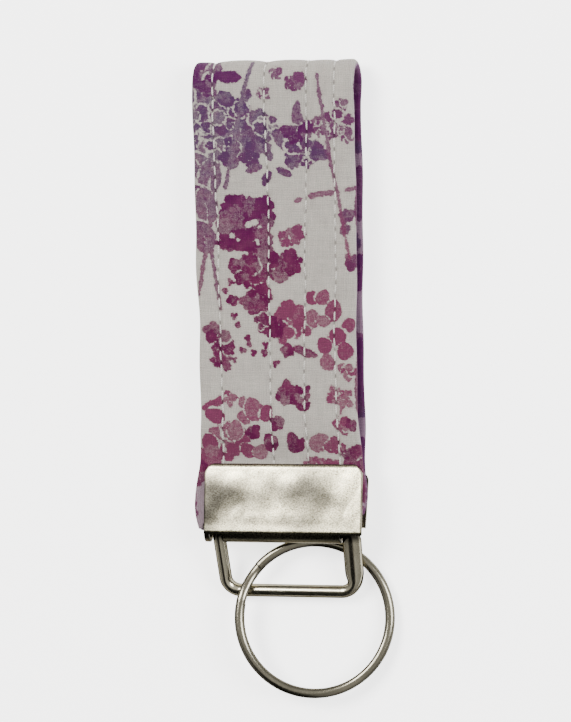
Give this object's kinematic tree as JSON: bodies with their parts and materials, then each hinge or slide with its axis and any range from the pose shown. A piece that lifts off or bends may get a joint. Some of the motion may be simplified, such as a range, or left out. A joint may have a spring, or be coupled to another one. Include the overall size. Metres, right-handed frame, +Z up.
{
  "type": "wristlet keychain",
  "caption": "Quilted fabric strap folded into a loop, crimped in a plated clamp with a hinged wire loop and a split ring for keys.",
  "frame": {"origin": "on the surface it lies on, under the middle of the whole object's box", "axes": "+Y towards the strap's fold, -Y towards the split ring, +Z up out of the surface, X across the strap"},
  "size_m": [0.039, 0.1258, 0.0095],
  "materials": {
    "printed_cotton": "quilting cotton, purple botanical print on a pale warm grey ground",
    "fleece": "soft polyester fleece",
    "thread": "light grey polyester topstitching thread",
    "satin_nickel": "satin nickel plating, slightly grainy",
    "polished_nickel": "polished nickel plating"
  },
  "bodies": {
    "strap_and_clamp": {"outer_fabric": "printed_cotton", "fleece_core": "fleece", "needle_thread_1": "thread", "needle_thread_2": "thread", "needle_thread_3": "thread", "needle_thread_4": "thread", "bobbin_thread_1": "thread", "bobbin_thread_2": "thread", "bobbin_thread_3": "thread", "bobbin_thread_4": "thread", "crimp_clamp": "satin_nickel"},
    "loop": {"wire_loop": "polished_nickel"},
    "ring": {"split_ring": "polished_nickel"}
  },
  "joints": [
    {"name": "loop_hinge", "type": "hinge", "parent": "strap_and_clamp", "child": "loop", "pos_m": [0, -0.02976, 0.0072], "axis": [-1, 0, 0], "range_deg": [-40, 36]},
    {"name": "ring_swing", "type": "hinge", "parent": "loop", "child": "ring", "pos_m": [0, -0.04186, 0.0025], "axis": [-1, 0, 0], "range_deg": [0, 120]}
  ]
}
